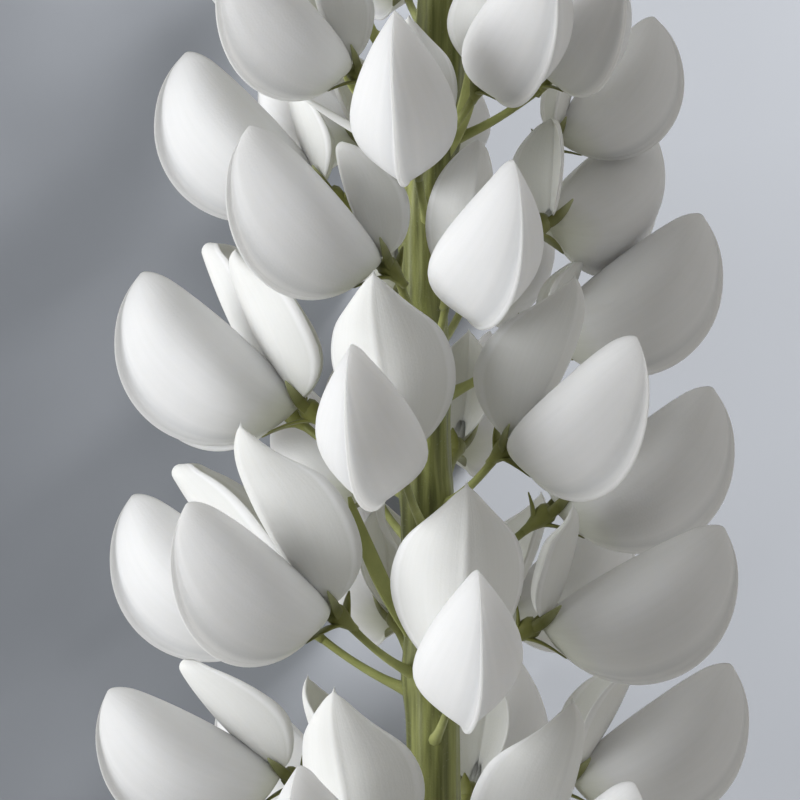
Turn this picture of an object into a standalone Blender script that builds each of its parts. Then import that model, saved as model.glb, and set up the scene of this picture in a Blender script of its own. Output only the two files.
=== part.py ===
"""A white lupine flower spike, cut and lying on its side, its tip towards +Y.

The spike's axis runs along +Y. A bloom is placed round the axis by the height of its calyx, by its
angle round the axis (0 faces up, 90 faces +X) and by its reach, and it points outwards and towards
the tip. Lengths are in millimetres and angles in degrees, and MM turns a length into metres.
"""

import math
import random
from collections import namedtuple

import bmesh
import bpy
from mathutils import Matrix, Vector

MM = 0.001
SEED = 7

# The axis of the spike, above the surface that it lies on
AXIS_X = 0.07
AXIS_Y = 3.4
AXIS_Z = 24.2

# The flower stalk: height, radius and sideways sway along it
CUT_END = -104.0
STALK_TOP = 56.0
STALK_PROFILE = (
    (CUT_END, 2.7, 0.0), (-70.0, 2.55, 0.1), (-35.0, 2.4, 0.3), (-8.0, 2.25, -0.3),
    (12.0, 2.1, -0.6), (36.0, 2.2, 1.1), (STALK_TOP, 1.2, 0.0),
)

# A pedicel leaves the stalk lower than its calyx by a share of its reach, and sags a little
PEDICEL_RADIUS = 0.5
PEDICEL_ROOT_RADIUS = 0.6
PEDICEL_ROOT_REACH = 1.0
PEDICEL_DROP = 0.45
PEDICEL_SAG = 0.6
PEDICEL_END = (-0.1, 0.0, 0.02)

# A bloom of length 1, from its base at the origin to its tip at (1, 0, 0), with the stem side at +Z
WING_DEPTH = 0.514
WING_CROWN = 0.063
WING_HALF_WIDTH = 0.275
WING_SECTIONS = 5
WING_FULLNESS = 3.02
WING_SIDE_STEPS = (0.14, 0.45, 0.78)
BANNER_HALF_WIDTH = 0.315
BANNER_SKEW = 1.1
BANNER_ROUNDNESS = 0.56
BANNER_DEPTH = 0.85
BANNER_SHOULDER = (0.62, 0.36)
BANNER_THICKNESS = 0.036
BANNER_SECTIONS = (0.18, 0.5, 0.78, 0.94)
BANNER_ROOT = (0.04, -0.01)
BANNER_START_ANGLE = 20.0
BANNER_END_ANGLE = 34.0
BANNER_SWEEP = 24.0

# The calyx, in the same lengths of one bloom
CALYX_HEIGHT = 0.015
CALYX_RINGS = ((-0.14, 0.04), (-0.045, 0.085))
CALYX_ENDS = (-0.16, -0.035)
CALYX_TOOTH = (-0.05, 0.0, 0.2)
CALYX_LIP = (-0.02, 0.0, -0.24)

# Points of a mesh that are nearer to each other than this are one point, in metres
WELD = 0.00001

Bloom = namedtuple("Bloom", "height around reach heading rise size banner lift spread", defaults=(0.0, 1.0))

# The blooms of each whorl, chosen by eye: height of the calyx, its angle round the axis, its reach
# from the axis, the bloom's heading, its rise, its length, its banner's length, by how much the
# banner leans back to the stem more than most, and its breadth next to most banners'
WHORLS = {
    "a": (
        Bloom(-53.0, -62, 13.5, -62, 30, 18.5, 13.0),
        Bloom(-57.0, 4, 13.5, 4, 32, 18.5, 14.0),
        Bloom(-55.5, 64, 13.5, 66, 30, 18.5, 13.0),
        Bloom(-54.0, 120, 12.0, 116, 32, 18.0, 12.0),
        Bloom(-54.0, -118, 12.5, -114, 32, 18.0, 12.0),
        Bloom(-53.0, 178, 9.8, 178, 40, 16.8, 11.0),
    ),
    "b": (
        Bloom(-33.5, -80, 13.5, -76, 28, 17.5, 13.7, -7),
        Bloom(-41.8, -30, 12.0, -22, 40, 18.0, 18.0),
        Bloom(-43.0, 38, 12.0, 42, 38, 18.0, 18.5),
        Bloom(-34.4, 103, 13.0, 103, 34, 18.5, 13.0),
        Bloom(-36.0, 158, 11.0, 158, 38, 17.2, 11.0),
        Bloom(-37.0, -140, 11.0, -124, 36, 17.5, 12.0),
    ),
    "c": (
        Bloom(-18.6, -50, 11.7, -52, 34, 18.0, 18.8, -4),
        Bloom(-24.4, 10, 12.0, 7, 38, 17.1, 18.5),
        Bloom(-20.0, 66, 10.7, 92, 29, 18.5, 11.0, 18),
        Bloom(-19.8, -98, 12.6, -98, 38, 18.5, 17.6, -14, 0.85),
        Bloom(-20.0, -162, 10.8, -164, 40, 16.8, 11.0),
        Bloom(-20.0, 142, 10.5, 122, 38, 17.0, 12.0),
    ),
    "d": (
        Bloom(-0.5, -88, 11.7, -90, 41, 18.6, 15.0, -3, 1.2),
        Bloom(-5.4, -14, 12.2, -16, 36, 17.2, 17.5),
        Bloom(-4.0, 43, 10.5, 41, 32, 18.0, 16.4),
        Bloom(-10.0, 100, 11.5, 100, 38, 18.5, 13.0),
        Bloom(-4.0, 165, 10.6, 165, 40, 16.8, 11.0),
        Bloom(-8.0, -146, 10.5, -146, 38, 17.0, 12.0),
    ),
    "e": (
        Bloom(12.0, -25, 10.5, -56, 41, 17.5, 11.0),
        Bloom(9.8, 12, 9.8, 20, 37, 17.2, 13.6, 0, 0.7),
        Bloom(6.2, 107, 10.9, 101, 37, 18.4, 7.0),
        Bloom(-1.2, -120.5, 15.4, -113, 38, 16.5, 18.0, -3, 0.9),
        Bloom(12.0, -166, 10.6, -166, 40, 16.8, 11.0),
        Bloom(10.0, 155, 9.5, 152, 40, 16.5, 11.0),
    ),
    "f": (
        Bloom(18.9, -98, 9.6, -92, 46, 17.8, 11.0),
        Bloom(21.3, -8, 10.0, -8, 42, 16.9, 12.0),
        Bloom(16.1, 93, 10.5, 140, 33, 18.8, 9.5, 26),
        Bloom(23.8, 107, 11.9, 104, 51, 14.8, 8.5),
        Bloom(24.0, 175, 10.2, 175, 38, 16.4, 10.0),
        Bloom(24.0, -136, 9.0, -134, 42, 15.5, 10.0),
    ),
    "g": (
        Bloom(29.2, -48, 9.6, -51, 40, 16.2, 11.0),
        Bloom(28.2, 30, 9.3, 23, 42, 16.6, 11.0),
        Bloom(29.0, 75, 11.0, 30, 44, 14.0, 9.0),
        Bloom(37.0, 142, 8.5, 140, 42, 14.5, 9.0),
        Bloom(36.0, -98, 8.5, -96, 44, 14.5, 9.0),
        Bloom(38.5, -162, 8.5, -162, 42, 14.5, 9.0),
    ),
    "h": (
        Bloom(41.0, -8, 7.5, -8, 50, 13.0, 8.5),
        Bloom(43.0, 48, 7.5, 48, 50, 13.0, 8.5),
        Bloom(46.0, 100, 7.2, 100, 50, 12.5, 8.0),
        Bloom(47.5, -62, 7.2, -62, 50, 12.5, 8.0),
        Bloom(50.0, -122, 7.0, -122, 50, 12.0, 8.0),
        Bloom(51.5, 168, 7.0, 168, 50, 12.0, 8.0),
    ),
}

# The bud tip: closed buds in a spiral, smaller towards the top
BUD_BOTTOM = 58.0
BUD_TOP = 94.0
BUD_COUNT = 40
BUD_TURN = 137.5
BUD_LENGTHS = (11.5, 3.4)
BUD_SIDES = 5
BUD_RINGS = ((0.25, 0.16), (0.66, 0.18))
BUD_REACH = (2.0, 0.9)
BUD_LEAN = (44.0, 8.0)
BUD_SPREAD = 4.0
BUD_ROOT_DEPTH = 1.0
CORE_RADIUS = (2.0, 0.8)


def clear_scene():
    for thing in list(bpy.data.objects):
        bpy.data.objects.remove(thing, do_unlink=True)


def new_collection(name):
    group = bpy.data.collections.new(name)
    bpy.context.scene.collection.children.link(group)
    return group


def make_material(name, color, roughness):
    material = bpy.data.materials.new(name)
    material.use_nodes = True
    shader = material.node_tree.nodes["Principled BSDF"]
    shader.inputs["Base Color"].default_value = (*color, 1.0)
    shader.inputs["Roughness"].default_value = roughness
    shader.inputs["Metallic"].default_value = 0.0
    return material


def make_object(name, mesh, material, group):
    thing = bpy.data.objects.new(name, mesh)
    mesh.materials.append(material)
    group.objects.link(thing)
    return thing


def loft(name, rings, first_pole, last_pole):
    """Closes a stack of rings with a pole at each end into one mesh."""
    bm = bmesh.new()
    rows = [[bm.verts.new(point) for point in ring] for ring in rings]
    first = bm.verts.new(first_pole)
    last = bm.verts.new(last_pole)
    count = len(rows[0])
    for low, high in zip(rows, rows[1:]):
        for k in range(count):
            after = (k + 1) % count
            bm.faces.new((low[k], low[after], high[after], high[k]))
    for k in range(count):
        after = (k + 1) % count
        bm.faces.new((first, rows[0][after], rows[0][k]))
        bm.faces.new((last, rows[-1][k], rows[-1][after]))
    bmesh.ops.triangulate(bm, faces=bm.faces)
    bmesh.ops.recalc_face_normals(bm, faces=bm.faces)
    mesh = bpy.data.meshes.new(name)
    bm.to_mesh(mesh)
    bm.free()
    return mesh


def bloom_matrix(bloom):
    """The place of a bloom of length 1: X along it, Z towards the stem."""
    around = math.radians(bloom.around)
    heading = math.radians(bloom.heading)
    rise = math.radians(bloom.rise)
    base = Vector((bloom.reach * math.sin(around), bloom.height, bloom.reach * math.cos(around)))
    base += Vector((AXIS_X, AXIS_Y, AXIS_Z))
    outward = Vector((math.sin(heading), 0.0, math.cos(heading)))
    tipward = Vector((0.0, 1.0, 0.0))
    along = outward * math.cos(rise) + tipward * math.sin(rise)
    stemward = tipward * math.cos(rise) - outward * math.sin(rise)
    across = stemward.cross(along)
    turn = Matrix((along, across, stemward)).transposed().to_4x4()
    return Matrix.Translation(base * MM) @ turn @ Matrix.Scale(bloom.size * MM, 4)


def wing_mesh():
    """Two wings closed like a purse: a half disc below the chord, pointed along its outer rim."""
    steps = [0.0, *WING_SIDE_STEPS, 1.0]
    rings = []
    for section in range(1, WING_SECTIONS + 1):
        angle = math.pi * section / (WING_SECTIONS + 1)
        along = 0.5 - 0.5 * math.cos(angle)
        crown = WING_CROWN * math.sin(angle) ** 0.8
        rim = -WING_DEPTH * math.sin(angle)
        width = WING_HALF_WIDTH * WING_FULLNESS * along ** 0.7 * (1.0 - along) ** 0.95
        side = [(width * math.sin(math.pi * step ** 0.75), crown + (rim - crown) * step) for step in steps]
        ring = [(along, y, z) for y, z in side]
        ring += [(along, -y, z) for y, z in reversed(side[1:-1])]
        rings.append(ring)
    return loft("wings", rings, (0.0, 0.0, 0.0), (1.0, 0.0, 0.0))


def banner_ridge(step, length, lift):
    """A point of the banner's fold and the fold's direction there, on an arc."""
    start = math.radians(BANNER_START_ANGLE + lift)
    swing = math.radians(BANNER_END_ANGLE - BANNER_START_ANGLE)
    radius = length / swing
    angle = start + swing * step
    x = BANNER_ROOT[0] + radius * (math.sin(angle) - math.sin(start))
    z = BANNER_ROOT[1] - radius * (math.cos(angle) - math.cos(start))
    return x, z, angle


def banner_mesh(length, lift, spread):
    """The banner: a leaf folded like a roof, its fold outwards and its sides swept back and down."""
    rings = []
    for step in BANNER_SECTIONS:
        x, z, angle = banner_ridge(step, length, lift)
        swept = angle + math.radians(BANNER_SWEEP)
        back = (-math.sin(swept), math.cos(swept))
        arch = math.sin(math.pi * step ** BANNER_SKEW) ** BANNER_ROUNDNESS
        width = spread * BANNER_HALF_WIDTH * length * arch
        depth = BANNER_DEPTH * width
        thick = min(BANNER_THICKNESS, 0.4 * width)
        shoulder = (BANNER_SHOULDER[0] * width, BANNER_SHOULDER[1] * depth)
        outer = [(0.0, 0.0), shoulder, (width, depth)]
        inner = [(0.0, thick * 1.5), (shoulder[0] - thick * 0.75, shoulder[1] + thick), (width - thick, depth)]
        half = outer + inner[::-1]
        line = half + [(-y, d) for y, d in reversed(half[1:-1])]
        rings.append([(x + back[0] * d, y, z + back[1] * d) for y, d in line])
    tip_x, tip_z, tip_angle = banner_ridge(1.0, length, lift)
    root = (BANNER_ROOT[0], 0.0, BANNER_ROOT[1])
    return loft("banner", rings, root, (tip_x, 0.0, tip_z))


def scrap_object(mesh, name="operand"):
    thing = bpy.data.objects.new(name, mesh)
    bpy.context.scene.collection.objects.link(thing)
    return thing


def evaluated_mesh(thing):
    graph = bpy.context.evaluated_depsgraph_get()
    return bpy.data.meshes.new_from_object(thing.evaluated_get(graph))


def fuse(meshes, name, solver):
    """One body out of several closed meshes."""
    first = scrap_object(meshes[0])
    group = new_collection("operands")
    for mesh in meshes[1:]:
        group.objects.link(bpy.data.objects.new("operand", mesh))
    union = first.modifiers.new("union", "BOOLEAN")
    union.operation = "UNION"
    union.solver = solver
    union.operand_type = "COLLECTION"
    union.collection = group
    result = evaluated_mesh(first)
    result.name = name
    for thing in list(group.objects):
        bpy.data.objects.remove(thing, do_unlink=True)
    bpy.data.collections.remove(group)
    bpy.data.objects.remove(first, do_unlink=True)
    return result


def press_flat(mesh):
    """Cuts off what lies below the surface and closes the cut with a flat face."""
    bm = bmesh.new()
    bm.from_mesh(mesh)
    if min(vert.co.z for vert in bm.verts) < 0.0:
        everything = bm.verts[:] + bm.edges[:] + bm.faces[:]
        cut = bmesh.ops.bisect_plane(bm, geom=everything, plane_no=(0, 0, -1), clear_outer=True)
        edges = [piece for piece in cut["geom_cut"] if isinstance(piece, bmesh.types.BMEdge)]
        bmesh.ops.contextual_create(bm, geom=edges)
    bmesh.ops.remove_doubles(bm, verts=bm.verts, dist=WELD)
    bmesh.ops.triangulate(bm, faces=bm.faces)
    bmesh.ops.recalc_face_normals(bm, faces=bm.faces)
    bm.to_mesh(mesh)
    bm.free()


def build_bloom(name, bloom, material, group):
    place = bloom_matrix(bloom)
    banner = banner_mesh(bloom.banner / bloom.size, bloom.lift, bloom.spread)
    mesh = fuse([wing_mesh(), banner], name, "EXACT")
    mesh.transform(place)
    press_flat(mesh)
    return make_object(name, mesh, material, group)


def tube_mesh(points, radii, sides_step):
    """A round rod along a line of points, with its caps welded on."""
    curve = bpy.data.curves.new("rod", "CURVE")
    curve.dimensions = "3D"
    curve.bevel_depth = 1.0
    curve.bevel_resolution = sides_step
    curve.use_fill_caps = True
    spline = curve.splines.new("POLY")
    spline.points.add(len(points) - 1)
    for point, place, radius in zip(spline.points, points, radii):
        point.co = (*(place * MM), 1.0)
        point.radius = radius * MM
    thing = scrap_object(curve)
    mesh = evaluated_mesh(thing)
    bpy.data.objects.remove(thing, do_unlink=True)
    bm = bmesh.new()
    bm.from_mesh(mesh)
    bmesh.ops.remove_doubles(bm, verts=bm.verts, dist=WELD)
    bmesh.ops.triangulate(bm, faces=bm.faces)
    bmesh.ops.recalc_face_normals(bm, faces=bm.faces)
    bm.to_mesh(mesh)
    bm.free()
    return mesh


def calyx_mesh(place):
    """A calyx behind a bloom: a six-sided cup whose upper side is raised to a short tooth and whose
    lower side is raised to a longer lip."""
    rings = []
    for along, radius in CALYX_RINGS:
        ring = []
        for k in range(6):
            angle = math.pi * k / 3.0
            ring.append((along, radius * math.cos(angle), CALYX_HEIGHT + radius * math.sin(angle)))
        rings.append(ring)
    bm = bmesh.new()
    rows = [[bm.verts.new(point) for point in ring] for ring in rings]
    poles = [bm.verts.new((along, 0.0, CALYX_HEIGHT)) for along in CALYX_ENDS]
    tips = {1: bm.verts.new(CALYX_TOOTH), 4: bm.verts.new(CALYX_LIP)}
    for k in range(6):
        after = (k + 1) % 6
        side = (rows[0][k], rows[0][after], rows[1][after], rows[1][k])
        if k in tips:
            for corner in range(4):
                bm.faces.new((side[corner], side[(corner + 1) % 4], tips[k]))
        else:
            bm.faces.new(side)
        bm.faces.new((poles[0], rows[0][after], rows[0][k]))
        bm.faces.new((poles[1], rows[1][k], rows[1][after]))
    bmesh.ops.triangulate(bm, faces=bm.faces)
    bmesh.ops.recalc_face_normals(bm, faces=bm.faces)
    mesh = bpy.data.meshes.new("calyx")
    bm.to_mesh(mesh)
    bm.free()
    mesh.transform(place)
    return mesh


def pedicel_mesh(bloom, place):
    """A pedicel from inside the stalk to the calyx cup."""
    end = (place @ Vector(PEDICEL_END)) / MM
    axis = Vector((AXIS_X, AXIS_Y, AXIS_Z))
    around = math.radians(bloom.around)
    outward = Vector((math.sin(around), 0.0, math.cos(around)))
    low = bloom.height - PEDICEL_DROP * bloom.reach - PEDICEL_ROOT_REACH
    root = axis + Vector((0.0, low, 0.0)) + outward * PEDICEL_ROOT_REACH
    middle = root.lerp(end, 0.55) - Vector((0.0, PEDICEL_SAG, 0.0))
    return tube_mesh((root, middle, end), (PEDICEL_ROOT_RADIUS, PEDICEL_RADIUS, PEDICEL_RADIUS), 0)


def build_stalk(blooms, material, group):
    points = [Vector((AXIS_X + sway, AXIS_Y + height, AXIS_Z)) for height, radius, sway in STALK_PROFILE]
    meshes = [tube_mesh(points, [radius for height, radius, sway in STALK_PROFILE], 2)]
    for bloom in blooms:
        place = bloom_matrix(bloom)
        meshes.append(calyx_mesh(place))
        meshes.append(pedicel_mesh(bloom, place))
    mesh = fuse(meshes, "flower_stalk", "MANIFOLD")
    return make_object("flower_stalk", mesh, material, group)


def bud_mesh(length):
    rings = []
    for along, radius in BUD_RINGS:
        ring = []
        for k in range(BUD_SIDES):
            angle = 2.0 * math.pi * k / BUD_SIDES
            ring.append((along * length, radius * length * math.cos(angle), radius * length * math.sin(angle)))
        rings.append(ring)
    return loft("bud", rings, (0.0, 0.0, 0.0), (length, 0.0, 0.0))


def build_bud_tip(material, group):
    """Closed buds in a spiral on a slim core, from the last blooms to the top of the spike."""
    draw = random.Random(SEED)
    core_points = [Vector((AXIS_X, AXIS_Y + height, AXIS_Z)) for height in (STALK_TOP + 0.4, BUD_TOP + 1.0)]
    meshes = [tube_mesh(core_points, CORE_RADIUS, 1)]
    for k in range(BUD_COUNT):
        share = k / (BUD_COUNT - 1)
        length = BUD_LENGTHS[0] + (BUD_LENGTHS[1] - BUD_LENGTHS[0]) * share
        reach = BUD_REACH[0] + (BUD_REACH[1] - BUD_REACH[0]) * share
        lean = math.radians(BUD_LEAN[0] + (BUD_LEAN[1] - BUD_LEAN[0]) * share + draw.uniform(-BUD_SPREAD, BUD_SPREAD))
        around = math.radians(BUD_TURN * k)
        height = BUD_BOTTOM + (BUD_TOP - BUD_BOTTOM) * share
        outward = Vector((math.sin(around), 0.0, math.cos(around)))
        along = outward * math.sin(lean) + Vector((0.0, 1.0, 0.0)) * math.cos(lean)
        across = along.cross(outward).normalized()
        third = along.cross(across)
        turn = Matrix((along, across, third)).transposed().to_4x4()
        base = Vector((AXIS_X, AXIS_Y + height, AXIS_Z)) + outward * (reach - BUD_ROOT_DEPTH)
        mesh = bud_mesh(length * MM)
        mesh.transform(Matrix.Translation(base * MM) @ turn)
        meshes.append(mesh)
    mesh = fuse(meshes, "bud_tip", "MANIFOLD")
    return make_object("bud_tip", mesh, material, group)


def all_blooms():
    return [bloom for whorl in WHORLS.values() for bloom in whorl]


def main():
    clear_scene()
    group = new_collection("lupine_flower_spike")
    green = make_material("stalk_green", (0.22, 0.27, 0.09), 0.6)
    white = make_material("petal_white", (0.86, 0.87, 0.86), 0.45)
    bud_green = make_material("bud_pale_green", (0.62, 0.66, 0.5), 0.5)
    blooms = all_blooms()
    for number, bloom in enumerate(blooms, start=1):
        build_bloom(f"bloom_{number:02d}", bloom, white, group)
    build_stalk(blooms, green, group)
    build_bud_tip(bud_green, group)


if __name__ == "__main__":
    main()
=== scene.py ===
"""A white lupine flower spike, cut and lying on its side: its fine forms, finishes, light and camera.

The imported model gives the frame. Each piece here replaces one of its nodes with finer petals, stalks
and calyces or buds, in the same place. Lengths are in millimetres and angles in degrees unless a
comment says otherwise, and MM turns a length into metres.
"""

import logging
import math
import random
from dataclasses import dataclass, field
from enum import Enum, IntEnum

import bpy
import numpy as np
from mathutils import Matrix, Vector

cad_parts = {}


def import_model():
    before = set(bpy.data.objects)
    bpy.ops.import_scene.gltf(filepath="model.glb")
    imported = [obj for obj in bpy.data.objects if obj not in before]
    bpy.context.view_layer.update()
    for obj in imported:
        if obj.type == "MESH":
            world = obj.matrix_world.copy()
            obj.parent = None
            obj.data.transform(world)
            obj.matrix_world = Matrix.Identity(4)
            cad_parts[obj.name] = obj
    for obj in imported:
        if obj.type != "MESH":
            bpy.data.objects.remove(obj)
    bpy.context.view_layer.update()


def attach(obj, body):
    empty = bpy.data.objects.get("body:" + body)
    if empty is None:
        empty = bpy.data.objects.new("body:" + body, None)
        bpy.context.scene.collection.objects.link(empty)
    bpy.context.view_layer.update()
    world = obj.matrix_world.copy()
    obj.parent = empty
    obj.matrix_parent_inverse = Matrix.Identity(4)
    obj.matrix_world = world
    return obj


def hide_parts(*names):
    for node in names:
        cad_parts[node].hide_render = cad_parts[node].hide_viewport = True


MM = 0.001
SEED = 7

# The axis of the spike, above the surface that it lies on, and the way to its tip
AXIS = Vector((0.07, 3.4, 24.2))
TIPWARD = Vector((0.0, 1.0, 0.0))

# The flower stalk: height, radius and sideways sway along it
CUT_END = -104.0
STALK_TOP = 56.0
STALK_PROFILE = np.array((
    (CUT_END, 2.7, 0.0), (-70.0, 2.55, 0.1), (-35.0, 2.4, 0.3), (-8.0, 2.25, -0.3),
    (12.0, 2.1, -0.6), (36.0, 2.2, 1.1), (STALK_TOP, 1.2, 0.0),
))

# A pedicel leaves the stalk lower than its calyx by this share of its reach
PEDICEL_DROP = 0.45

# What may feed a shader node: a number, a colour, another node's socket, or a node by its first output
Feed = float | tuple | bpy.types.NodeSocket | bpy.types.Node

log = logging.getLogger("lupine")


def outward_at(around: float) -> Vector:
    """Gives the direction away from the spike's axis at an angle round it.

    Args:
        around: The angle, in degrees.

    Returns:
        The direction, of length 1.
    """
    return Vector((math.sin(math.radians(around)), 0.0, math.cos(math.radians(around))))


@dataclass(frozen=True)
class Bloom:
    """Where one bloom stands on the spike.

    height is its calyx's place along the spike, around its angle round the axis (0 faces up, 90 faces
    +X), reach its distance from the axis, heading and rise the way it points, size its length, banner
    its banner's length, lift how much more than most the banner leans back to the stalk, spread its
    breadth next to most banners', and hood how blunt and round it ends, up to 1.
    """

    height: float
    around: float
    reach: float
    heading: float
    rise: float
    size: float
    banner: float
    lift: float = 0.0
    spread: float = 1.0
    hood: float = 0.0

    def matrix(self) -> Matrix:
        """Gives the place of a bloom of length 1, X along it and Z towards the stalk.

        Returns:
            A matrix from the bloom's own lengths to metres in the frame.
        """
        rise = math.radians(self.rise)
        outward = outward_at(self.heading)
        base = AXIS + TIPWARD * self.height + outward_at(self.around) * self.reach
        along = outward * math.cos(rise) + TIPWARD * math.sin(rise)
        stemward = TIPWARD * math.cos(rise) - outward * math.sin(rise)
        turn = Matrix((along, stemward.cross(along), stemward)).transposed().to_4x4()
        return Matrix.Translation(base * MM) @ turn @ Matrix.Scale(self.size * MM, 4)


# The blooms of each whorl, from the lowest whorl to the highest
BLOOMS = (
    Bloom(-53.0, -62, 13.5, -62, 30, 18.5, 13.0),
    Bloom(-57.0, 4, 13.5, 4, 32, 18.5, 14.0),
    Bloom(-55.5, 64, 13.5, 66, 30, 18.5, 13.0),
    Bloom(-54.0, 120, 12.0, 116, 32, 18.0, 12.0),
    Bloom(-54.0, -118, 12.5, -114, 32, 18.0, 12.0),
    Bloom(-53.0, 178, 9.8, 178, 40, 16.8, 11.0),
    Bloom(-33.5, -80, 13.5, -76, 28, 17.5, 13.7, -7, 1.0, 0.8),
    Bloom(-41.8, -30, 12.0, -22, 40, 18.0, 18.0),
    Bloom(-43.0, 38, 12.0, 42, 38, 18.0, 18.5),
    Bloom(-34.4, 103, 13.0, 103, 34, 18.5, 13.0),
    Bloom(-36.0, 158, 11.0, 158, 38, 17.2, 11.0),
    Bloom(-37.0, -140, 11.0, -124, 36, 17.5, 12.0),
    Bloom(-18.6, -50, 11.7, -52, 34, 18.0, 18.8, -4),
    Bloom(-24.4, 10, 12.0, 7, 38, 17.1, 18.5),
    Bloom(-20.0, 66, 10.7, 92, 29, 18.5, 11.0, 18),
    Bloom(-19.8, -98, 12.6, -98, 38, 18.5, 17.6, -14, 0.85, 1.0),
    Bloom(-20.0, -162, 10.8, -164, 40, 16.8, 11.0),
    Bloom(-20.0, 142, 10.5, 122, 38, 17.0, 12.0),
    Bloom(-0.5, -88, 11.7, -90, 41, 18.6, 15.0, -3, 1.2, 0.4),
    Bloom(-5.4, -14, 12.2, -16, 36, 17.2, 17.5),
    Bloom(-4.0, 43, 10.5, 41, 32, 18.0, 16.4),
    Bloom(-10.0, 100, 11.5, 100, 38, 18.5, 13.0),
    Bloom(-4.0, 165, 10.6, 165, 40, 16.8, 11.0),
    Bloom(-8.0, -146, 10.5, -146, 38, 17.0, 12.0),
    Bloom(12.0, -25, 10.5, -56, 41, 17.5, 11.0, 0, 1.0, 0.8),
    Bloom(9.8, 12, 9.8, 20, 37, 17.2, 13.6, 0, 0.7, 0.6),
    Bloom(6.2, 107, 10.9, 101, 37, 18.4, 7.0, 0, 1.0, 1.0),
    Bloom(-1.2, -120.5, 15.4, -113, 38, 16.5, 18.0, -3, 0.9, 1.0),
    Bloom(12.0, -166, 10.6, -166, 40, 16.8, 11.0),
    Bloom(10.0, 155, 9.5, 152, 40, 16.5, 11.0),
    Bloom(18.9, -98, 9.6, -92, 46, 17.8, 11.0),
    Bloom(21.3, -8, 10.0, -8, 42, 16.9, 12.0),
    Bloom(16.1, 93, 10.5, 140, 33, 18.8, 9.5, 26, 1.0, 0.8),
    Bloom(23.8, 107, 11.9, 104, 51, 14.8, 8.5),
    Bloom(24.0, 175, 10.2, 175, 38, 16.4, 10.0),
    Bloom(24.0, -136, 9.0, -134, 42, 15.5, 10.0),
    Bloom(29.2, -48, 9.6, -51, 40, 16.2, 11.0),
    Bloom(28.2, 30, 9.3, 23, 42, 16.6, 11.0),
    Bloom(29.0, 75, 11.0, 30, 44, 14.0, 9.0),
    Bloom(37.0, 142, 8.5, 140, 42, 14.5, 9.0),
    Bloom(36.0, -98, 8.5, -96, 44, 14.5, 9.0),
    Bloom(38.5, -162, 8.5, -162, 42, 14.5, 9.0),
    Bloom(41.0, -8, 7.5, -8, 50, 13.0, 8.5),
    Bloom(43.0, 48, 7.5, 48, 50, 13.0, 8.5),
    Bloom(46.0, 100, 7.2, 100, 50, 12.5, 8.0),
    Bloom(47.5, -62, 7.2, -62, 50, 12.5, 8.0),
    Bloom(50.0, -122, 7.0, -122, 50, 12.0, 8.0),
    Bloom(51.5, 168, 7.0, 168, 50, 12.0, 8.0),
)


class Hue(Enum):
    """The colours of the spike and its stage, as the eye sees them (sRGB)."""

    PETAL = "f0f0f1"
    # Painted light: the banners' white is a touch brighter than the wings', lifting banners that lie in
    # shade
    BANNER = "f3f3f1"
    PETAL_BASE = "e8eadb"
    # Painted highlight: a brighter white along the purse's raised seam and the banner's outer edge
    PETAL_SEAM_HIGHLIGHT = "fefefe"
    # Painted shade: a darker white in the furrow beside the purse's seam
    PETAL_FURROW_SHADE = "e0e1e3"
    CALYX = "7f813e"
    CALYX_DARK = "4c4c1d"
    CALYX_PALE = "ccd0a6"
    PEDICEL = "bbc07a"
    STEM_LIGHT = "a8ac68"
    STEM_DARK = "5b5e2b"
    PITH = "c4cf9c"
    BUD = "e4e8d2"
    BUD_BASE = "8c9a5c"
    HAIR = "bcc4a0"
    FLOOR = "8f939a"


def linear(hue: Hue) -> tuple[float, float, float, float]:
    """Turns a colour as the eye sees it into the renderer's linear light.

    Args:
        hue: The colour to turn.

    Returns:
        Its red, green and blue values, and 1 for full opacity.
    """
    values = []
    for start in (0, 2, 4):
        value = int(hue.value[start:start + 2], 16) / 255.0
        values.append(value / 12.92 if value <= 0.04045 else ((value + 0.055) / 1.055) ** 2.4)
    return (*values, 1.0)


class PetalSlot(IntEnum):
    """The material slots of a bloom's object."""

    WING = 0
    BANNER = 1


class Slot(IntEnum):
    """The material slots of the stalk's object."""

    STEM = 0
    CALYX = 1
    HAIR = 2
    PITH = 3
    PEDICEL = 4
    PALE = 5


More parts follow.
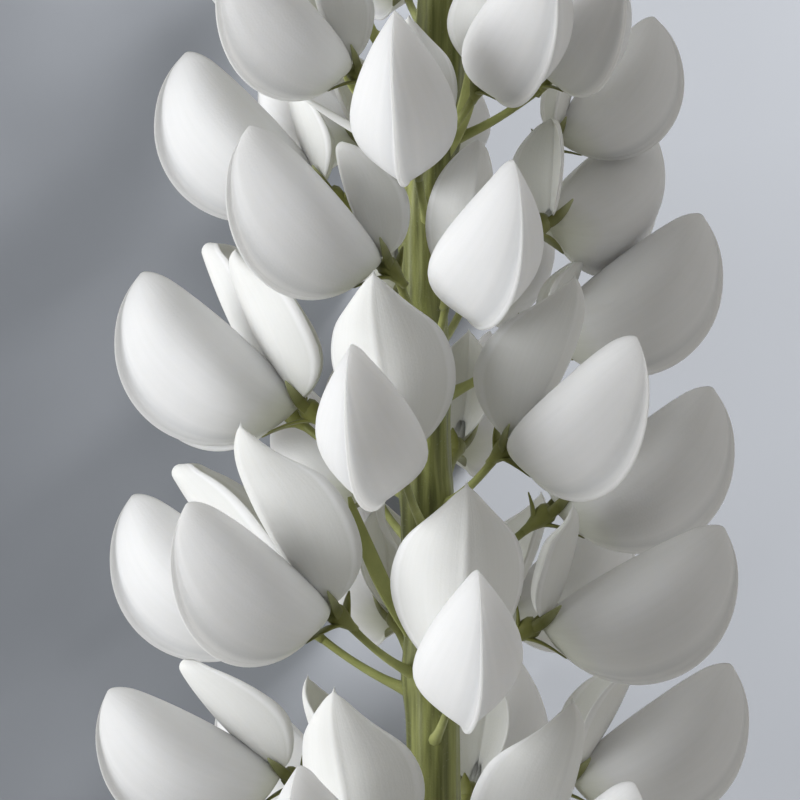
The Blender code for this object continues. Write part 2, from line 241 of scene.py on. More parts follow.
class Patchwork:
    """Surfaces gathered into one mesh, each point with its texture place and each face with a slot."""

    def __init__(self) -> None:
        """Starts with no surface."""
        self.points: list[np.ndarray] = []
        self.places: list[np.ndarray] = []
        self.faces: list[tuple[np.ndarray, int]] = []
        self.count = 0

    def add(self, points: np.ndarray, places: np.ndarray, faces: list[np.ndarray], slot: int) -> None:
        """Adds one surface.

        Args:
            points: The points, one row each.
            places: The points' texture places, one row of two numbers each.
            faces: Arrays of faces of three or four points each, counted from this surface's first.
            slot: The material slot of the faces.
        """
        self.points.append(points)
        self.places.append(places)
        for block in faces:
            self.faces.append((block + self.count, slot))
        self.count += len(points)

    def add_loft(
        self, rings: np.ndarray, first: np.ndarray, last: np.ndarray, places: np.ndarray, slot: int,
    ) -> None:
        """Adds a closed form: a stack of rings with a pole at each end.

        Args:
            rings: The points, ring by ring and point by point round each ring.
            first: The pole before the first ring.
            last: The pole after the last ring.
            places: The texture place of every ring point; a pole takes the mean of its ring.
            slot: The material slot.
        """
        rows, columns = rings.shape[:2]
        index = np.arange(rows * columns).reshape(rows, columns)
        after = np.roll(index, -1, axis=1)
        sides = np.stack((index[:-1], after[:-1], after[1:], index[1:]), axis=-1).reshape(-1, 4)
        low = np.stack((np.full(columns, rows * columns), after[0], index[0]), axis=-1)
        high = np.stack((np.full(columns, rows * columns + 1), index[-1], after[-1]), axis=-1)
        points = np.vstack((rings.reshape(-1, 3), first, last))
        flat = np.vstack((places.reshape(-1, 2), places[0].mean(axis=0), places[-1].mean(axis=0)))
        self.add(points, flat, [sides, low, high], slot)

    def add_tube(
        self, path: np.ndarray, widths: np.ndarray, heights: np.ndarray, tints: np.ndarray, sides: int,
        slot: int = 0, up: tuple[float, float, float] = (0.0, 0.0, 1.0), matrix: Matrix = Matrix.Identity(4),
        ends: tuple | None = None, last_tint: float = 1.0,
    ) -> None:
        """Adds a closed tube of oval rings along a path.

        Args:
            path: The points of the path.
            widths: The rings' half widths across the path.
            heights: The rings' half heights along up.
            tints: The first texture number of each ring.
            sides: The number of points of a ring.
            slot: The material slot, the first one where it isn't given.
            up: A direction that isn't along the path.
            matrix: The tube's place.
            ends: Its two end points, where they aren't the path's.
            last_tint: The second texture number's value at the end of its way round the rings, from 0.
        """
        rings = moved(swept_rings(path, widths, heights, sides, up), matrix)
        first, last = moved(np.array(ends or (path[0], path[-1])), matrix)
        self.add_loft(rings, first, last, places_of(tints, np.linspace(0.0, last_tint, sides)), slot)

    def to_object(self, name: str, materials: list[bpy.types.Material]) -> bpy.types.Object:
        """Makes the object, smooth all over, with its texture places.

        Points below the surface that the spike lies on are pressed up to it.

        Args:
            name: The object's name.
            materials: The materials of its slots.

        Returns:
            The new object.
        """
        points = np.vstack(self.points)
        points[:, 2] = np.maximum(points[:, 2], 0.0)
        faces = [row for block, _ in self.faces for row in block.tolist()]
        slots = np.concatenate([np.full(len(block), slot, np.int32) for block, slot in self.faces])
        mesh = bpy.data.meshes.new(name)
        mesh.from_pydata(points.tolist(), [], faces)
        corners = np.empty(len(mesh.loops), np.int32)
        mesh.loops.foreach_get("vertex_index", corners)
        layer = mesh.uv_layers.new(name="place")
        layer.data.foreach_set("uv", np.vstack(self.places)[corners].astype(np.float32).ravel())
        mesh.polygons.foreach_set("material_index", slots)
        mesh.polygons.foreach_set("use_smooth", np.ones(len(slots), bool))
        for material in materials:
            mesh.materials.append(material)
        mesh.update()
        thing = bpy.data.objects.new(name, mesh)
        bpy.context.scene.collection.objects.link(thing)
        return thing


def moved(points: np.ndarray, matrix: Matrix) -> np.ndarray:
    """Moves points by a matrix.

    Args:
        points: The points, in the last dimension.
        matrix: The matrix, four by four.

    Returns:
        The moved points, in the same arrangement.
    """
    place = np.array(matrix)
    return points @ place[:3, :3].T + place[:3, 3]


def places_of(rows: np.ndarray, columns: np.ndarray) -> np.ndarray:
    """Gives a grid of texture places.

    Args:
        rows: The first texture number of each row.
        columns: The second texture number of each column.

    Returns:
        The texture places, row by row.
    """
    return np.stack(np.broadcast_arrays(rows[:, None], columns[None, :]), axis=-1)


def between(ends: tuple[float, float], share: float | np.ndarray) -> float | np.ndarray:
    """Gives a value part of the way from one to another.

    Args:
        ends: The two values.
        share: The share of the way, from 0 to 1.

    Returns:
        The value, or one for every share.
    """
    return ends[0] + (ends[1] - ends[0]) * share


def unit(vectors: np.ndarray) -> np.ndarray:
    """Brings vectors to length 1.

    Args:
        vectors: The vectors, one row each.

    Returns:
        Their directions.
    """
    return vectors / np.linalg.norm(vectors, axis=1, keepdims=True)


def spokes(around: np.ndarray) -> np.ndarray:
    """Gives the directions away from the spike's axis at some angles round it.

    Args:
        around: The angles, in radians.

    Returns:
        The directions.
    """
    return np.stack((np.sin(around), np.zeros_like(around), np.cos(around)), axis=-1)


def swept_rings(
    path: np.ndarray, widths: np.ndarray, heights: np.ndarray, sides: int, up: tuple[float, float, float],
) -> np.ndarray:
    """Puts an oval ring round every point of a path, square to it.

    Args:
        path: The points of the path.
        widths: The rings' half widths across the path.
        heights: The rings' half heights along up.
        sides: The number of points of a ring.
        up: A direction that isn't along the path.

    Returns:
        The rings' points.
    """
    ahead = unit(np.gradient(path, axis=0))
    across = unit(np.cross(ahead, up))
    square = np.cross(across, ahead)
    turn = np.linspace(0.0, 2.0 * np.pi, sides, endpoint=False)
    wide = across[:, None] * (np.cos(turn)[None, :, None] * widths[:, None, None])
    high = square[:, None] * (np.sin(turn)[None, :, None] * heights[:, None, None])
    return path[:, None] + wide + high


def spine(height: np.ndarray, sway: np.ndarray | float = 0.0) -> np.ndarray:
    """Gives points along the spike's axis.

    Args:
        height: Their places along it.
        sway: How far to the right of it they lie.

    Returns:
        The points, in millimetres.
    """
    return np.array(AXIS) + np.stack((0.0 * height + sway, height, 0.0 * height), axis=-1)


def smooth_path(corners: list[Vector], count: int) -> np.ndarray:
    """Draws a smooth line through three points, as a parabola that passes the middle one.

    Args:
        corners: The first, middle and last point.
        count: The number of points on the line.

    Returns:
        The points of the line.
    """
    first, middle, last = (np.array(corner) for corner in corners)
    bend = 2.0 * middle - 0.5 * (first + last)
    step = np.linspace(0.0, 1.0, count)[:, None]
    return first * (1 - step) ** 2 + bend * 2 * step * (1 - step) + last * step ** 2


def rounded(step: np.ndarray, knots: np.ndarray, values: np.ndarray) -> np.ndarray:
    """Reads a smooth curve through a few values, in cubic pieces that share their slopes.

    Args:
        step: Where to read it.
        knots: The places of the values, in rising order.
        values: The values.

    Returns:
        The curve's values.
    """
    slopes = np.gradient(values, knots)
    index = np.clip(np.searchsorted(knots, step, side="right") - 1, 0, len(knots) - 2)
    span = knots[index + 1] - knots[index]
    t = (step - knots[index]) / span
    low, high = values[index], values[index + 1]
    first = (2 * t ** 3 - 3 * t ** 2 + 1) * low + (t ** 3 - 2 * t ** 2 + t) * span * slopes[index]
    return first + (3 * t ** 2 - 2 * t ** 3) * high + (t ** 3 - t ** 2) * span * slopes[index + 1]


class Nodes:
    """The shader nodes of one material or world."""

    def __init__(self, owner: bpy.types.Material | bpy.types.World) -> None:
        """Clears the owner's nodes.

        Args:
            owner: The material or the world.
        """
        owner.use_nodes = True
        self.tree = owner.node_tree
        self.tree.nodes.clear()

    def add(self, kind: str, inputs: dict | None = None, stops: tuple = (), **settings) -> bpy.types.Node:
        """Adds a node with its settings and links.

        Args:
            kind: The node's type, without its Shader prefix.
            inputs: What feeds its sockets, by name or number.
            stops: Each stop of a colour ramp: its place from 0 to 1 and its colour.
            **settings: Its other properties.

        Returns:
            The node.
        """
        node = self.tree.nodes.new("ShaderNode" + kind)
        for key, value in settings.items():
            setattr(node, key, value)
        for key, value in (inputs or {}).items():
            value = value.outputs[0] if isinstance(value, bpy.types.Node) else value
            if isinstance(value, bpy.types.NodeSocket):
                self.tree.links.new(value, node.inputs[key])
            else:
                node.inputs[key].default_value = value
        elements = node.color_ramp.elements if stops else ()
        while len(elements) < len(stops):
            elements.new(0.5)
        for element, (place, color) in zip(elements, stops):
            element.position = place
            element.color = color
        return node


@dataclass(frozen=True, kw_only=True)
class Skin:
    """Living plant tissue: the base of every kind of skin, which draws its own pattern.

    roughness is that of its surface, glow the share of light that passes under it, depth how far it
    gets there in millimetres, sheen the soft light of its fine down, relief the height of its finest
    grain in millimetres, and gloss the strength of its shine. Pattern scales are cycles a metre in
    object coordinates. The values here are those of green tissue.
    """

    name: str
    roughness: float = 0.5
    glow: float = 0.12
    depth: float = 0.5
    sheen: float = 0.15
    relief: float = 0.03
    gloss: float = 0.45

    def pattern(self, nodes: Nodes) -> tuple[Feed, Feed]:
        """Draws the skin's colour and its fine relief.

        Args:
            nodes: The material's nodes.

        Returns:
            What feeds its colour, and what feeds its relief's height.
        """
        raise NotImplementedError

    def place(self, nodes: Nodes) -> tuple[Feed, Feed]:
        """Gives the texture place.

        Args:
            nodes: The material's nodes.

        Returns:
            The sockets of its two numbers.
        """
        split = nodes.add("SeparateXYZ", {0: nodes.add("UVMap", uv_map="place")})
        return split.outputs[0], split.outputs[1]

    def tinted(
        self, nodes: Nodes, color: Feed, shape: Feed, ends: tuple[float, float], dark: tuple[float, ...],
    ) -> Feed:
        """Darkens a colour where a pattern is low.

        Args:
            nodes: The material's nodes.
            color: The colour.
            shape: The pattern.
            ends: The pattern's values where the colour is darkest and where it is plain.
            dark: What the colour is multiplied by where it is darkest.

        Returns:
            The new colour's socket.
        """
        stops = ((ends[0], (*dark, 1.0)), (ends[1], (1.0, 1.0, 1.0, 1.0)))
        inputs = {0: 1.0, 6: color, 7: nodes.add("ValToRGB", {0: shape}, stops)}
        return nodes.add("Mix", inputs, data_type="RGBA", blend_type="MULTIPLY").outputs[2]

    def build(self) -> bpy.types.Material:
        """Makes the material.

        Returns:
            The material.
        """
        material = bpy.data.materials.new(self.name)
        nodes = Nodes(material)
        color, height = self.pattern(nodes)
        bump = nodes.add("Bump", {"Height": height, "Distance": self.relief * MM, "Strength": 1.0})
        surface = nodes.add("BsdfPrincipled", {
            "Base Color": color, "Roughness": self.roughness, "Normal": bump,
            "Subsurface Weight": self.glow, "Subsurface Radius": (1.0, 0.97, 0.92),
            "Subsurface Scale": self.depth * MM, "Sheen Weight": self.sheen, "Sheen Roughness": 0.5,
            "Specular IOR Level": self.gloss,
        })
        nodes.add("OutputMaterial", {"Surface": surface})
        return material


@dataclass(frozen=True, kw_only=True)
class PetalSkin(Skin):
    """White satin petal: creamy green at its foot, with faint veins along it and fine cells.

    The texture place runs from the bloom's foot, 0, to its tip, 1, and from a petal's fold, 0, to its
    outer edge, 1. main is its colour, and furrow the painted shade in the furrow beside its seam. The
    raised seam itself, and a banner's outer edge, are painted a brighter white as a painted highlight.
    """

    main: Hue
    furrow: Hue
    roughness: float = 0.6
    sheen: float = 0.2
    relief: float = 0.012
    gloss: float = 0.22

    def pattern(self, nodes: Nodes) -> tuple[Feed, Feed]:
        """Draws clouds of 7 mm, 22 veins that fan out from the fold to the edge, and cells of 0.2 mm.

        Args:
            nodes: The material's nodes.

        Returns:
            What feeds its colour, and what feeds its relief's height.
        """
        along, across = self.place(nodes)
        spot = nodes.add("TexCoord").outputs["Object"]
        cloud = nodes.add("TexNoise", {"Vector": spot, "Scale": 140.0, "Detail": 2.0})
        fan = nodes.add("CombineXYZ", {
            0: nodes.add("Math", {0: across, 1: 22.0}, operation="MULTIPLY"),
            1: nodes.add("Math", {0: along, 1: 1.6}, operation="MULTIPLY"),
        })
        vein = nodes.add("TexNoise", {"Vector": fan, "Scale": 1.0, "Detail": 2.0, "Roughness": 0.55})
        cell = nodes.add("TexNoise", {"Vector": spot, "Scale": 5000.0, "Detail": 0.0})
        # Across the petal: painted shade in the furrow beside the seam, then a painted highlight on the seam
        # and the outer edge
        blade = nodes.add("ValToRGB", {0: across}, (
            (0.76, linear(self.main)), (0.845, linear(self.furrow)),
            (0.885, linear(self.main)), (0.92, linear(Hue.PETAL_SEAM_HIGHLIGHT)),
        ))
        foot = nodes.add("MapRange", {0: along, 1: 0.0, 2: 0.16, 3: 1.0, 4: 0.0})
        color = nodes.add("Mix", {0: foot, 6: blade, 7: linear(Hue.PETAL_BASE)}, data_type="RGBA").outputs[2]
        color = self.tinted(nodes, color, cloud, (0.3, 0.7), (0.965, 0.967, 0.965))
        color = self.tinted(nodes, color, vein, (0.35, 0.6), (0.982, 0.984, 0.98))
        raised = nodes.add("Math", {0: vein, 1: 1.6}, operation="MULTIPLY")
        return color, nodes.add("Math", {0: raised, 1: cell}, operation="ADD")


class CalyxSkin(Skin):
    """Olive calyx, darker towards its teeth and pale at their tips.

    The texture place's first number runs from the foot, 0, to a tooth's tip, 1.
    """

    def pattern(self, nodes: Nodes) -> tuple[Feed, Feed]:
        """Draws a mottle of 1.1 mm and a grain of 0.2 mm.

        Args:
            nodes: The material's nodes.

        Returns:
            What feeds its colour, and what feeds its relief's height.
        """
        along, _ = self.place(nodes)
        spot = nodes.add("TexCoord").outputs["Object"]
        mottle = nodes.add("TexNoise", {"Vector": spot, "Scale": 900.0, "Detail": 3.0})
        base = nodes.add("ValToRGB", {0: along}, (
            (0.0, linear(Hue.STEM_LIGHT)), (0.25, linear(Hue.CALYX)),
            (0.62, linear(Hue.CALYX_DARK)), (1.0, linear(Hue.CALYX_PALE)),
        ))
        color = nodes.add("Mix", {0: mottle, 6: base, 7: linear(Hue.CALYX)}, data_type="RGBA").outputs[2]
        return color, nodes.add("TexNoise", {"Vector": spot, "Scale": 5000.0, "Detail": 2.0})


class StemSkin(Skin):
    """Olive green stem, streaked light and dark along its length."""

    def pattern(self, nodes: Nodes) -> tuple[Feed, Feed]:
        """Draws streaks 0.6 mm wide and 18 mm long, patches of 10 mm and a grain of 0.2 mm.

        Args:
            nodes: The material's nodes.

        Returns:
            What feeds its colour, and what feeds its relief's height.
        """
        spot = nodes.add("TexCoord").outputs["Object"]
        stretch = nodes.add("Mapping", {"Vector": spot, "Scale": (1.0, 0.035, 1.0)})
        streak = nodes.add("TexNoise", {"Vector": stretch, "Scale": 1600.0, "Detail": 3.0})
        patch = nodes.add("TexNoise", {"Vector": spot, "Scale": 100.0, "Detail": 2.0})
        grain = nodes.add("TexNoise", {"Vector": spot, "Scale": 4500.0, "Detail": 2.0})
        stops = ((0.32, linear(Hue.STEM_DARK)), (0.68, linear(Hue.STEM_LIGHT)))
        base = nodes.add("ValToRGB", {0: streak}, stops)
        color = self.tinted(nodes, base, patch, (0.3, 0.7), (0.8, 0.82, 0.74))
        return color, nodes.add("Math", {0: streak, 1: grain}, operation="ADD")


class PedicelSkin(Skin):
    """Plain green of the pedicels, paler along their middle.

    The texture place's first number runs from the stalk, 0, to the calyx, 1.
    """

    def pattern(self, nodes: Nodes) -> tuple[Feed, Feed]:
        """Draws a mottle of 1.2 mm and a grain of 0.2 mm.

        Args:
            nodes: The material's nodes.

        Returns:
            What feeds its colour, and what feeds its relief's height.
        """
        along, _ = self.place(nodes)
        spot = nodes.add("TexCoord").outputs["Object"]
        mottle = nodes.add("TexNoise", {"Vector": spot, "Scale": 850.0, "Detail": 2.0})
        base = nodes.add("ValToRGB", {0: along}, (
            (0.1, linear(Hue.STEM_LIGHT)), (0.5, linear(Hue.PEDICEL)), (1.0, linear(Hue.CALYX)),
        ))
        color = self.tinted(nodes, base, mottle, (0.3, 0.7), (0.84, 0.86, 0.8))
        return color, nodes.add("TexNoise", {"Vector": spot, "Scale": 4500.0, "Detail": 1.0})


@dataclass(frozen=True, kw_only=True)
class BudSkin(Skin):
    """Closed bud: green at its calyx, cream white at its tip."""

    glow: float = 0.25
    depth: float = 0.7
    sheen: float = 0.3
    relief: float = 0.02
    gloss: float = 0.3

    def pattern(self, nodes: Nodes) -> tuple[Feed, Feed]:
        """Draws a mottle of 1.5 mm that shifts the colours along the bud, and a grain of 0.2 mm.

        Args:
            nodes: The material's nodes.

        Returns:
            What feeds its colour, and what feeds its relief's height.
        """
        along, _ = self.place(nodes)
        spot = nodes.add("TexCoord").outputs["Object"]
        mottle = nodes.add("TexNoise", {"Vector": spot, "Scale": 650.0, "Detail": 3.0})
        shift = nodes.add("MapRange", {0: mottle, 1: 0.0, 2: 1.0, 3: -0.08, 4: 0.08})
        level = nodes.add("Math", {0: along, 1: shift}, operation="ADD")
        color = nodes.add("ValToRGB", {0: level}, (
            (0.18, linear(Hue.STEM_LIGHT)), (0.42, linear(Hue.BUD_BASE)),
            (0.56, linear(Hue.BUD)), (0.9, linear(Hue.PETAL_BASE)),
        ))
        return color, nodes.add("TexNoise", {"Vector": spot, "Scale": 4500.0, "Detail": 2.0})


class PithSkin(Skin):
    """Moist pale pith of the cut end."""

    def pattern(self, nodes: Nodes) -> tuple[Feed, Feed]:
        """Draws darker specks of 0.3 mm.

        Args:
            nodes: The material's nodes.

        Returns:
            What feeds its colour, and what feeds its relief's height.
        """
        spot = nodes.add("TexCoord").outputs["Object"]
        speck = nodes.add("TexVoronoi", {"Vector": spot, "Scale": 3300.0})
        stops = ((0.1, linear(Hue.STEM_LIGHT)), (0.5, linear(Hue.PITH)))
        return nodes.add("ValToRGB", {0: speck}, stops), speck


@dataclass(frozen=True)
class PlainFinish:
    """A finish of one even colour, such as fine silvery down or a painted floor.

    glow is the share of light that passes under the surface, and depth how far it gets there in
    millimetres.
    """

    name: str
    color: Hue
    roughness: float
    glow: float = 0.0
    depth: float = 50.0

    def build(self) -> bpy.types.Material:
        """Makes the material.

        Returns:
            The material.
        """
        material = bpy.data.materials.new(self.name)
        nodes = Nodes(material)
        surface = nodes.add("BsdfPrincipled", {
            "Base Color": linear(self.color), "Roughness": self.roughness,
            "Subsurface Weight": self.glow, "Subsurface Scale": self.depth * MM,
        })
        nodes.add("OutputMaterial", {"Surface": surface})
        return material


class Finishes:
    """Every material of the spike and of its floor."""

    def __init__(self) -> None:
        """Makes every material once."""
        # The wings take a painted shade in the furrow beside their seam; the banners take no furrow shade
        wing = PetalSkin(
            name="wing_petal_white_satin", main=Hue.PETAL, furrow=Hue.PETAL_FURROW_SHADE, glow=0.8, depth=5.0,
        )
        # Painted light: the banner petal is a brighter copy of the wing petal, lifting banners that lie in
        # shade
        banner = PetalSkin(
            name="banner_petal_white_satin", main=Hue.BANNER, furrow=Hue.BANNER, glow=0.7, depth=0.35,
        )
        self.wing = wing.build()
        self.banner = banner.build()
        self.calyx = CalyxSkin(name="calyx_olive_down").build()
        self.stem = StemSkin(name="stem_olive_streaked").build()
        self.pedicel = PedicelSkin(name="pedicel_green").build()
        self.bud = BudSkin(name="bud_cream_green").build()
        self.hair = PlainFinish("down_silver", Hue.HAIR, roughness=0.4, glow=0.3, depth=0.2).build()
        self.pith = PithSkin(name="pith_pale_green").build()
        self.floor = PlainFinish("floor_pale_blue_grey", Hue.FLOOR, roughness=0.9).build()


@dataclass(frozen=True)
class Purse:
    """The two wing petals, closed like a purse, of length 1 from their foot to their tip.

    depth is how far the rim hangs below the chord, crown how far the upper edge rises above it, width
    about the greatest half width, fullness what brings the profile along the purse up to about 1, seam
    and lip the half thickness and height of the raised seam along the rim, and hollow the depth of the
    shallow furrow beside it, whose place and breadth furrow gives as shares of the way from the upper
    edge to the rim. margin holds the height of the two
    raised margins of the upper edge and how far they stand from the middle, and groove the depth of
    the groove between them. tip_drop is how far the tip rounds over from tip_start on, wave and sway
    are the heights of the petals' faint waves, and gaps how near the foot and the tip the first and the
    last ring stand, as angles.
    """

    depth: float = 0.514
    crown: float = 0.063
    width: float = 0.275
    fullness: float = 3.02
    seam: float = 0.0105
    lip: float = 0.024
    hollow: float = 0.023
    furrow: tuple[float, float] = (0.925, 0.045)
    margin: tuple[float, float] = (0.010, 0.022)
    groove: float = 0.010
    tip_drop: float = 0.024
    tip_start: float = 0.86
    wave: float = 0.02
    sway: float = 0.008
    gaps: tuple[float, float] = (0.06, 0.035)
    rows: int = 44
    steps: int = 28

    def rings(self, phases: np.ndarray) -> tuple[np.ndarray, np.ndarray]:
        """Draws the purse's rings from its foot to its tip.

        A ring stands at 0.5 - 0.5 cos(angle) along the chord. Its upper point is at crown times
        sin(angle)^0.8 and its lower point at -depth times sin(angle), and both drop as the square of
        the way from tip_start to the tip. Its half width is width times fullness times along^0.7
        times (1 - along)^0.95, and the side bulges from top to bottom as sin(pi step^0.75). At the
        bottom the side ends in a thin raised seam.

        Args:
            phases: Two angles that set the petals' own faint waves.

        Returns:
            The rings' points, and the texture places of all of them.
        """
        angle = np.linspace(self.gaps[0], np.pi - self.gaps[1], self.rows)
        along = 0.5 - 0.5 * np.cos(angle)
        drop = self.tip_drop * np.clip((along - self.tip_start) / (1.0 - self.tip_start), 0.0, 1.0) ** 2
        crown = self.crown * np.sin(angle) ** 0.8 - drop
        rim = -self.depth * np.sin(angle) - drop
        width = self.width * self.fullness * along ** 0.7 * (1.0 - along) ** 0.95
        step = 0.5 - 0.5 * np.cos(np.linspace(0.0, np.pi, self.steps))
        side = width[:, None] * np.sin(np.pi * step ** 0.75)
        level = crown[:, None] + (rim - crown)[:, None] * step
        ends = np.sin(angle)[:, None] ** 0.5
        # The furrow lies a little inside the seam and fades towards the bottom of the purse
        near_rim = np.exp(-((step - self.furrow[0]) / self.furrow[1]) ** 2)
        side = side - self.hollow * ends * near_rim * np.clip(1.8 * along - 0.3, 0.0, 1.0)[:, None]
        wave = np.sin(9.0 * along[:, None] + 5.0 * step + phases[0]) * np.sin(np.pi * step)
        side = side * (1.0 + self.wave * wave)
        # The seam: the side stops short of the rim at the seam's thickness, and the seam closes round it
        seam = self.seam * ends[:, 0] * np.clip(1.4 - along, 0.5, 1.0)
        lip = self.lip * ends[:, 0]
        side = np.maximum(side, seam[:, None] * (step > 0.5))
        flange_side = np.stack((seam * 1.05, seam * 0.95, seam * 0.55), axis=1)
        flange_level = rim[:, None] - lip[:, None] * np.array((0.35, 0.7, 0.95))
        # The upper edges meet in a fine groove between two raised margins
        margin = self.margin[0] * ends * np.exp(-((side / self.margin[1]) - 1.0) ** 2) * (step < 0.3)
        level = level + margin - self.groove * ends * (np.arange(self.steps) == 0)
        half_y = np.hstack((side, flange_side))
        half_z = np.hstack((level, flange_level))
        bottom = rim - lip
        y = np.hstack((half_y, np.zeros((self.rows, 1)), -half_y[:, :0:-1]))
        z = np.hstack((half_z, bottom[:, None], half_z[:, :0:-1]))
        x = np.broadcast_to(along[:, None], y.shape)
        sway = self.sway * np.sin(2.0 * np.pi * along + phases[1])[:, None] * np.sin(angle)[:, None]
        rings = np.stack((x, y + sway, z), axis=-1)
        half = np.concatenate((0.9 * step, (0.93, 0.96, 0.99)))
        across = np.concatenate((half, (1.0,), half[:0:-1]))
        return rings, places_of(along, across)

    def add_to(self, patch: Patchwork, matrix: Matrix, phases: np.ndarray) -> None:
        """Adds the purse of one bloom.

        Args:
            patch: The mesh that it joins.
            matrix: The bloom's place.
            phases: Two angles that set the petals' own faint waves.
        """
        rings, places = self.rings(phases)
        first = moved(np.array((0.0, 0.0, 0.0)), matrix)
        last = moved(np.array((1.001, rings[-1, 0, 1], -self.tip_drop)), matrix)
        patch.add_loft(moved(rings, matrix), first, last, places, PetalSlot.WING)


@dataclass(frozen=True)
class Banner:
    """The banner petal: a leaf folded like a roof, of lengths in one bloom's length.

    width is its half width over its length, thickness that of the petal, start and end the angles of
    its fold above the chord, curl how much more its tip bends back from curl_start on, roll the same
    for the very tip of a full hood from roll_start on, sweep how far its sides lean back from square to
    the fold, and nib the half width and length of the small point that ends it. depth is how far the
    sides fall back over its half width, crease the height and half width of the fine ridge on its fold,
    wave and sway the heights of its faint waves, and gaps how near the foot and the tip the first and
    the last ring stand, as angles.
    """

    width: float = 0.315
    thickness: float = 0.022
    root: tuple[float, float] = (0.04, -0.01)
    start: float = 20.0
    end: float = 34.0
    curl: float = 42.0
    curl_start: float = 0.7
    roll: float = 100.0
    roll_start: float = 0.92
    sweep: float = 24.0
    depth: float = 0.85
    crease: tuple[float, float] = (0.009, 0.011)
    wave: float = 0.05
    sway: float = 0.01
    nib: tuple[float, float] = (0.013, 0.03)
    gaps: tuple[float, float] = (0.16, 0.04)
    fine_rows: int = 241
    rows: int = 40
    steps: int = 15

    def rings(self, bloom: Bloom, phases: np.ndarray) -> tuple[np.ndarray, np.ndarray, np.ndarray]:
        """Draws the banner's rings from its foot to its tip.

        The fold is an arc from the root that bends back more from curl_start on, or under a full hood
        only at its very tip. Its half width is spread times width times length times
        sin(pi step^1.1)^0.56, or ^0.42 under a full hood. From the fold to the edge, at share q, the
        petal falls back by depth times the half width times 0.25 q + 0.75 q^2.6, and by a third more
        under a full hood.

        Args:
            bloom: The bloom.
            phases: Two angles that set the petal's own faint waves.

        Returns:
            The rings' points, the tip, and the texture places of the rings' points.
        """
        length = bloom.banner / bloom.size
        nib_width = self.nib[0] * (1.0 - 0.5 * bloom.hood)
        nib_length = self.nib[1] * (1.0 - 0.7 * bloom.hood)
        angle = np.linspace(self.gaps[0], np.pi - self.gaps[1], self.rows)
        step = (1.0 + nib_length) * (0.5 - 0.5 * np.cos(angle))
        fine = np.linspace(0.0, 1.0 + nib_length, self.fine_rows)
        curl = np.clip((fine - self.curl_start) / (1.0 - self.curl_start), 0.0, 1.0) ** 2
        curl = self.curl * (1.0 - bloom.hood) * curl
        bend = self.start + bloom.lift + (self.end - self.start) * fine + curl
        # A hooded banner's fold rolls back at its very tip and rounds it off
        rolled = np.clip((fine - self.roll_start) / (1.0 - self.roll_start), 0.0, 1.0)
        course = np.radians(bend + self.roll * bloom.hood * rolled)
        stride = length * (fine[1] - fine[0])
        line_x, line_z = (
            start + stride * np.concatenate(((0.0,), np.cumsum(turn(course[1:]))))
            for start, turn in zip(self.root, (np.cos, np.sin))
        )
        ridge_x = np.interp(step, fine, line_x)
        ridge_z = np.interp(step, fine, line_z)
        swept = np.radians(np.interp(step, fine, bend)) + math.radians(self.sweep)
        arch = np.sin(np.pi * np.minimum(step, 1.0) ** 1.1).clip(0.0) ** (0.56 - 0.14 * bloom.hood)
        point = nib_width * np.exp(-((step - 1.0) / (0.5 * nib_length)) ** 2)
        width = bloom.spread * self.width * length * arch + point
        share = np.linspace(0.0, 1.0, self.steps)
        depth = self.depth * (1.0 + 0.35 * bloom.hood)
        fall = depth * width[:, None] * (0.25 * share + 0.75 * share ** 2.6)
        middle = np.sin(np.pi * np.minimum(step, 1.0))[:, None]
        crease = self.crease[0] * np.exp(-(share * width[:, None] / self.crease[1]) ** 2) * middle
        wave = self.wave * width[:, None] * share ** 3 * np.sin(8.0 * step + phases[0])[:, None]
        thick = np.minimum(self.thickness, 0.3 * width)[:, None] * (1.0 - 0.65 * share ** 2)
        outer_y = width[:, None] * share
        outer_d = fall - crease + wave
        lean = np.arctan2(depth * (0.25 + 1.95 * share ** 1.6), 1.0)
        inner_y = outer_y - thick * np.sin(lean) * (share > 0)
        inner_d = outer_d + thick * np.cos(lean)
        y = np.hstack((-outer_y[:, :0:-1], outer_y, inner_y[:, ::-1], -inner_y[:, 1:]))
        d = np.hstack((outer_d[:, :0:-1], outer_d, inner_d[:, ::-1], inner_d[:, 1:]))
        x = ridge_x[:, None] - np.sin(swept)[:, None] * d
        z = ridge_z[:, None] + np.cos(swept)[:, None] * d
        sway = self.sway * length * np.sin(3.0 * step + phases[1])[:, None] * middle
        rings = np.stack((x, y + sway, z), axis=-1)
        tip = np.array((line_x[-1], 0.0, line_z[-1]))
        across = np.concatenate((share[:0:-1], share, share[::-1], share[1:]))
        return rings, tip, places_of(0.06 + 0.94 * step, across)

    def add_to(self, patch: Patchwork, bloom: Bloom, matrix: Matrix, phases: np.ndarray) -> None:
        """Adds the banner of one bloom.

        Args:
            patch: The mesh that it joins.
            bloom: The bloom.
            matrix: The bloom's place.
            phases: Two angles that set the petal's own faint waves.
        """
        rings, tip, places = self.rings(bloom, phases)
        first = moved(np.array((self.root[0], 0.0, self.root[1])), matrix)
        patch.add_loft(moved(rings, matrix), first, moved(tip, matrix), places, PetalSlot.BANNER)


@dataclass
class BloomPiece:
    """One white bloom: its purse of wing petals and its folded banner."""

    number: int
    bloom: Bloom
    purse: Purse = field(default_factory=Purse)
    banner: Banner = field(default_factory=Banner)

    def build(self, finishes: Finishes) -> bpy.types.Object:
        """Builds the bloom in the place of its node.

        Args:
            finishes: The spike's materials.

        Returns:
            The bloom's object.
        """
        draw = np.random.default_rng(SEED + self.number)
        phases = draw.uniform(0.0, 2.0 * np.pi, 4)
        matrix = self.bloom.matrix()
        patch = Patchwork()
        self.purse.add_to(patch, matrix, phases[:2])
        self.banner.add_to(patch, self.bloom, matrix, phases[2:])
        node = f"bloom_{self.number:02d}"
        piece = patch.to_object(f"petals_{self.number:02d}", [finishes.wing, finishes.banner])
        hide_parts(node)
        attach(piece, "root")
        return piece


